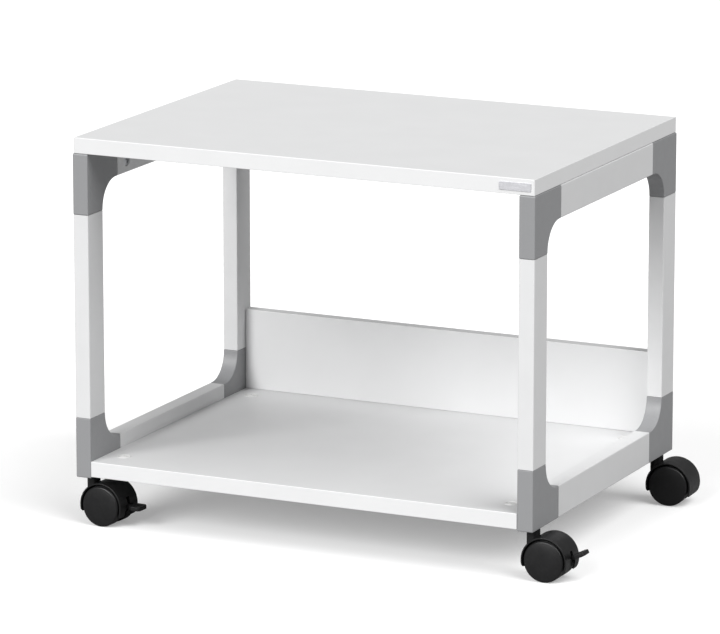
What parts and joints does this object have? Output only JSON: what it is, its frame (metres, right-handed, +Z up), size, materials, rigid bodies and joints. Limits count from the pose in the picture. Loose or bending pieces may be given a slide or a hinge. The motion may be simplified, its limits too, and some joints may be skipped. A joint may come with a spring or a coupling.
{
  "type": "mobile printer stand",
  "caption": "Low rolling stand with tube side frames, a flat top board, a lower shelf with a back panel, and braked swivel casters.",
  "frame": {"origin": "on the floor, under the middle of the whole object's box with the casters as they stand at rest; the stand's own middle is 29.1 mm towards -X, because the right-hand casters trail outwards", "axes": "+Z up, front towards -Y, +X to the right seen from the front"},
  "size_m": [0.6579, 0.432, 0.477],
  "materials": {
    "board": "light grey melamine-faced board, fine satin texture",
    "frame_paint": "light grey powder coat, fine texture",
    "connector_grey": "silver grey moulded plastic, satin",
    "caster_black": "black moulded nylon, satin",
    "zinc": "die-cast zinc, bright",
    "steel": "zinc-plated steel",
    "fitting_white": "white moulded plastic",
    "label_silver": "silver plate, satin, blank"
  },
  "bodies": {
    "stand": {"back_panel": "board", "bottom_connector_front_left": "connector_grey", "bottom_connector_front_right": "connector_grey", "bottom_connector_rear_left": "connector_grey", "bottom_connector_rear_right": "connector_grey", "bottom_rail_left": "frame_paint", "bottom_rail_right": "frame_paint", "label_plate": "label_silver", "leg_front_left": "frame_paint", "leg_front_right": "frame_paint", "leg_rear_left": "frame_paint", "leg_rear_right": "frame_paint", "lower_shelf": "board", "shelf_bolt_front_left": "steel", "shelf_bolt_front_right": "steel", "shelf_bolt_rear_left": "steel", "shelf_bolt_rear_right": "steel", "shelf_fitting_front_left": "fitting_white", "shelf_fitting_front_right": "fitting_white", "shelf_fitting_rear_left": "fitting_white", "shelf_fitting_rear_right": "fitting_white", "tabletop": "board", "top_bolt_front_left": "steel", "top_bolt_front_right": "steel", "top_bolt_rear_left": "steel", "top_bolt_rear_right": "steel", "top_cam_front_left": "zinc", "top_cam_front_right": "zinc", "top_cam_rear_left": "zinc", "top_cam_rear_right": "zinc", "top_connector_front_left": "connector_grey", "top_connector_front_right": "connector_grey", "top_connector_rear_left": "connector_grey", "top_connector_rear_right": "connector_grey", "top_rail_left": "frame_paint", "top_rail_right": "frame_paint"},
    "caster_front_left": {"caster_front_left_stem": "steel", "caster_front_left_hood": "caster_black", "caster_front_left_axle": "steel", "brake_pin_front_left": "steel"},
    "wheel_front_left_a": {"caster_front_left_wheel_a": "caster_black"},
    "wheel_front_left_b": {"caster_front_left_wheel_b": "caster_black"},
    "lever_front_left": {"brake_lever_front_left": "caster_black"},
    "caster_front_right": {"caster_front_right_stem": "steel", "caster_front_right_hood": "caster_black", "caster_front_right_axle": "steel", "brake_pin_front_right": "steel"},
    "wheel_front_right_a": {"caster_front_right_wheel_a": "caster_black"},
    "wheel_front_right_b": {"caster_front_right_wheel_b": "caster_black"},
    "lever_front_right": {"brake_lever_front_right": "caster_black"},
    "caster_rear_left": {"caster_rear_left_stem": "steel", "caster_rear_left_hood": "caster_black", "caster_rear_left_axle": "steel"},
    "wheel_rear_left_a": {"caster_rear_left_wheel_a": "caster_black"},
    "wheel_rear_left_b": {"caster_rear_left_wheel_b": "caster_black"},
    "caster_rear_right": {"caster_rear_right_stem": "steel", "caster_rear_right_hood": "caster_black", "caster_rear_right_axle": "steel"},
    "wheel_rear_right_a": {"caster_rear_right_wheel_a": "caster_black"},
    "wheel_rear_right_b": {"caster_rear_right_wheel_b": "caster_black"}
  },
  "joints": [
    {"name": "swivel_front_left", "type": "hinge", "parent": "stand", "child": "caster_front_left", "pos_m": [-0.31911, -0.19, 0.06], "axis": [0, 0, 1], "continuous": true},
    {"name": "roll_front_left_a", "type": "hinge", "parent": "caster_front_left", "child": "wheel_front_left_a", "pos_m": [-0.29816, -0.19146, 0.025], "axis": [0.0698, 0.9976, 0], "continuous": true},
    {"name": "roll_front_left_b", "type": "hinge", "parent": "caster_front_left", "child": "wheel_front_left_b", "pos_m": [-0.29816, -0.19146, 0.025], "axis": [0.0698, 0.9976, 0], "continuous": true},
    {"name": "brake_front_left", "type": "hinge", "parent": "caster_front_left", "child": "lever_front_left", "pos_m": [-0.27771, -0.1929, 0.025], "axis": [-0.0698, -0.9976, 0], "range_deg": [0, 26]},
    {"name": "swivel_front_right", "type": "hinge", "parent": "stand", "child": "caster_front_right", "pos_m": [0.26089, -0.19, 0.06], "axis": [0, 0, 1], "continuous": true},
    {"name": "roll_front_right_a", "type": "hinge", "parent": "caster_front_right", "child": "wheel_front_right_a", "pos_m": [0.28189, -0.19, 0.025], "axis": [0, 1, 0], "continuous": true},
    {"name": "roll_front_right_b", "type": "hinge", "parent": "caster_front_right", "child": "wheel_front_right_b", "pos_m": [0.28189, -0.19, 0.025], "axis": [0, 1, 0], "continuous": true},
    {"name": "brake_front_right", "type": "hinge", "parent": "caster_front_right", "child": "lever_front_right", "pos_m": [0.30239, -0.19, 0.025], "axis": [0, -1, 0], "range_deg": [-26, 0]},
    {"name": "swivel_rear_left", "type": "hinge", "parent": "stand", "child": "caster_rear_left", "pos_m": [-0.31911, 0.19, 0.06], "axis": [0, 0, 1], "continuous": true},
    {"name": "roll_rear_left_a", "type": "hinge", "parent": "caster_rear_left", "child": "wheel_rear_left_a", "pos_m": [-0.29812, 0.19073, 0.025], "axis": [-0.0349, 0.9994, 0], "continuous": true},
    {"name": "roll_rear_left_b", "type": "hinge", "parent": "caster_rear_left", "child": "wheel_rear_left_b", "pos_m": [-0.29812, 0.19073, 0.025], "axis": [-0.0349, 0.9994, 0], "continuous": true},
    {"name": "swivel_rear_right", "type": "hinge", "parent": "stand", "child": "caster_rear_right", "pos_m": [0.26089, 0.19, 0.06], "axis": [0, 0, 1], "continuous": true},
    {"name": "roll_rear_right_a", "type": "hinge", "parent": "caster_rear_right", "child": "wheel_rear_right_a", "pos_m": [0.28186, 0.1911, 0.025], "axis": [-0.0523, 0.9986, 0], "continuous": true},
    {"name": "roll_rear_right_b", "type": "hinge", "parent": "caster_rear_right", "child": "wheel_rear_right_b", "pos_m": [0.28186, 0.1911, 0.025], "axis": [-0.0523, 0.9986, 0], "continuous": true}
  ]
}
